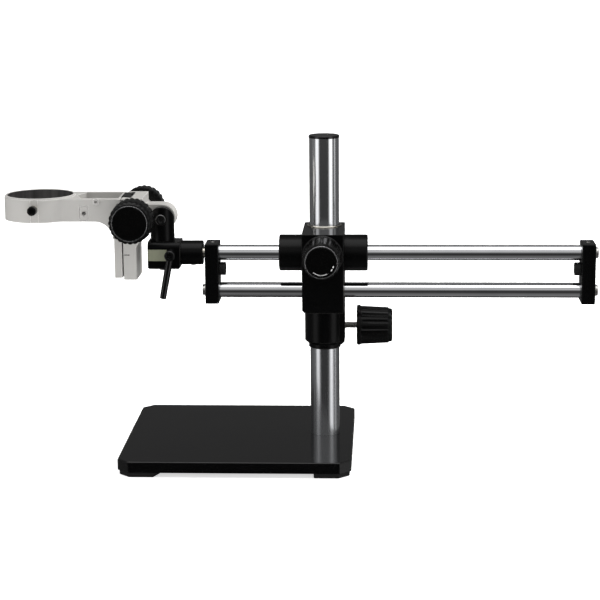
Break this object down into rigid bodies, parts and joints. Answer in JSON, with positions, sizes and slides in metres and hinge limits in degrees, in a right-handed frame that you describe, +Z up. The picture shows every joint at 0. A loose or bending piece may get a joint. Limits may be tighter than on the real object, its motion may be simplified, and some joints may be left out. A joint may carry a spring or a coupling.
{
  "type": "microscope boom stand",
  "caption": "Boom stand for a stereo microscope: base plate, pillar, a boom that slides, lifts and swings, and a rack and pinion focus arm whose ring takes the optical head.",
  "frame": {"origin": "under the middle of the whole stand's bounding box, on the surface that the feet rest on", "axes": "+Z up along the pillar; +X along the boom tubes, away from the focusing head; +Y to the back, away from the boom lock knob"},
  "size_m": [0.6904, 0.254, 0.3785],
  "materials": {
    "black_plate": "semi-gloss black enamel",
    "black_metal": "satin black anodised",
    "white_metal": "light warm grey fine-texture paint",
    "chrome": "polished hard chrome",
    "bright_metal": "turned",
    "screw_steel": "plated",
    "black_steel": "blackened",
    "brass": "turned",
    "rubber": "matte",
    "knob_plastic": "satin moulded",
    "knob_disc": "gloss",
    "black_plastic": "satin",
    "label": "pale grey-green, blank"
  },
  "bodies": {
    "stand": {"base_plate": "black_plate", "base_feet": "rubber", "foot_screws": "screw_steel", "pillar": "chrome", "pillar_plug": "screw_steel", "pillar_bolt": "screw_steel", "pillar_cap": "black_plastic"},
    "lift_bush": {"column_bush": "black_metal", "bush_clip": "bright_metal"},
    "carriage": {"carriage_body": "black_metal", "bearing_housing_left": "black_metal", "bearing_housing_right": "black_metal", "linear_bearings": "bright_metal", "lower_bushes": "brass"},
    "pillar_pad": {"pillar_lock_pad": "brass"},
    "pillar_knob": {"pillar_lock_screw": "screw_steel", "pillar_lock_knob": "knob_plastic", "pillar_lock_cap": "knob_disc"},
    "boom_pad": {"boom_lock_pad": "brass"},
    "boom_knob": {"boom_lock_screw": "screw_steel", "boom_lock_knob": "knob_plastic", "boom_lock_cap": "knob_disc"},
    "boom": {"upper_tube": "chrome", "lower_tube": "chrome", "end_plate_left": "black_metal", "end_plate_right": "black_metal", "tube_plugs": "screw_steel", "end_bolts": "screw_steel", "end_washers": "screw_steel", "plate_set_screws": "screw_steel", "bumpers": "rubber", "head_pin": "bright_metal"},
    "clamp": {"clamp_block": "black_metal", "block_label": "label", "roll_screw": "screw_steel"},
    "cotter": {"clamp_cotter": "brass"},
    "lever_stud": {"lever_insert": "screw_steel", "lever_spring": "screw_steel", "lever_screw": "screw_steel"},
    "lever": {"lever_handle": "black_plastic"},
    "post": {"tilt_post": "black_metal", "post_retainer": "screw_steel", "tilt_bolt": "black_steel", "tilt_nut": "screw_steel", "tilt_washer": "screw_steel"},
    "focus_body": {"focus_body": "white_metal", "pinion_bushes": "brass"},
    "pinion": {"pinion_shaft": "screw_steel", "focus_knob_near": "knob_plastic", "focus_knob_far": "knob_plastic", "knob_caps": "knob_disc"},
    "arm": {"focus_arm": "white_metal", "dovetail_slide": "black_metal", "rack": "black_steel", "slide_screws": "screw_steel", "arm_cover": "white_metal", "arm_screws": "screw_steel"},
    "ring_tip": {"ring_screw_tip": "brass"},
    "ring_screw": {"ring_screw": "screw_steel", "ring_knob": "knob_plastic"}
  },
  "joints": [
    {"name": "lift", "type": "slide", "parent": "stand", "child": "lift_bush", "axis": [0, 0, 1], "range_m": [-0.105, 0.102]},
    {"name": "swing", "type": "hinge", "parent": "lift_bush", "child": "carriage", "pos_m": [0.0267, 0.003, 0], "axis": [0, 0, 1], "continuous": true},
    {"name": "pillar_pad_travel", "type": "slide", "parent": "carriage", "child": "pillar_pad", "axis": [-1, 0, 0], "range_m": [-0.00125, 0.00031]},
    {"name": "pillar_lock_turn", "type": "hinge", "parent": "pillar_pad", "child": "pillar_knob", "pos_m": [0.0767, 0.003, 0.1515], "axis": [-1, 0, 0], "range_deg": [-360.1, 90.1]},
    {"name": "boom_pad_travel", "type": "slide", "parent": "carriage", "child": "boom_pad", "axis": [0, 1, 0], "range_m": [-0.00125, 0.00031]},
    {"name": "boom_lock_turn", "type": "hinge", "parent": "boom_pad", "child": "boom_knob", "pos_m": [0.0267, -0.077, 0.2475], "axis": [0, 1, 0], "range_deg": [-360.1, 90.1]},
    {"name": "boom_slide", "type": "slide", "parent": "carriage", "child": "boom", "axis": [1, 0, 0], "range_m": [-0.239, 0.0625]},
    {"name": "head_roll", "type": "hinge", "parent": "boom", "child": "clamp", "pos_m": [-0.1233, -0.027, 0.2444], "axis": [1, 0, 0], "range_deg": [-90, 90]},
    {"name": "cotter_travel", "type": "slide", "parent": "clamp", "child": "cotter", "axis": [0, -1, 0], "range_m": [-0.00022222, 0.000055556]},
    {"name": "lever_turn", "type": "hinge", "parent": "clamp", "child": "lever_stud", "pos_m": [-0.1494, -0.046, 0.2465], "axis": [0, 1, 0], "range_deg": [-80.01, 20.01]},
    {"name": "lever_pull", "type": "slide", "parent": "lever_stud", "child": "lever", "axis": [0, -1, 0], "range_m": [0, 0.0024], "stiffness_N_per_m": 600, "springref_m": -0.003},
    {"name": "swivel", "type": "hinge", "parent": "clamp", "child": "post", "pos_m": [-0.1614, -0.027, 0.26], "axis": [0, 0, 1], "range_deg": [-95, 25]},
    {"name": "tilt", "type": "hinge", "parent": "post", "child": "focus_body", "pos_m": [-0.1614, -0.027, 0.2854], "axis": [0, 1, 0], "range_deg": [-5, 60]},
    {"name": "focus_turn", "type": "hinge", "parent": "focus_body", "child": "pinion", "pos_m": [-0.1903, -0.027, 0.2898], "axis": [0, 1, 0], "range_deg": [-143.3, 334.3]},
    {"name": "focus_slide", "type": "slide", "parent": "focus_body", "child": "arm", "axis": [0, 0, 1], "range_m": [-0.015, 0.035]},
    {"name": "ring_tip_travel", "type": "slide", "parent": "arm", "child": "ring_tip", "axis": [0, 1, 0], "range_m": [-0.0008, 0.00033]},
    {"name": "ring_screw_turn", "type": "hinge", "parent": "ring_tip", "child": "ring_screw", "pos_m": [-0.3037, -0.087, 0.3018], "axis": [0, 1, 0], "range_deg": [-360.1, 150.1]}
  ],
  "couplings": [
    {"joint": "pillar_lock_turn", "follows": "pillar_pad_travel", "rad_per_m": 5026.5},
    {"joint": "boom_lock_turn", "follows": "boom_pad_travel", "rad_per_m": 5026.5},
    {"joint": "lever_turn", "follows": "cotter_travel", "rad_per_m": 6283.2},
    {"joint": "focus_turn", "follows": "focus_slide", "rad_per_m": 166.67},
    {"joint": "ring_screw_turn", "follows": "ring_tip_travel", "rad_per_m": 7854}
  ]
}
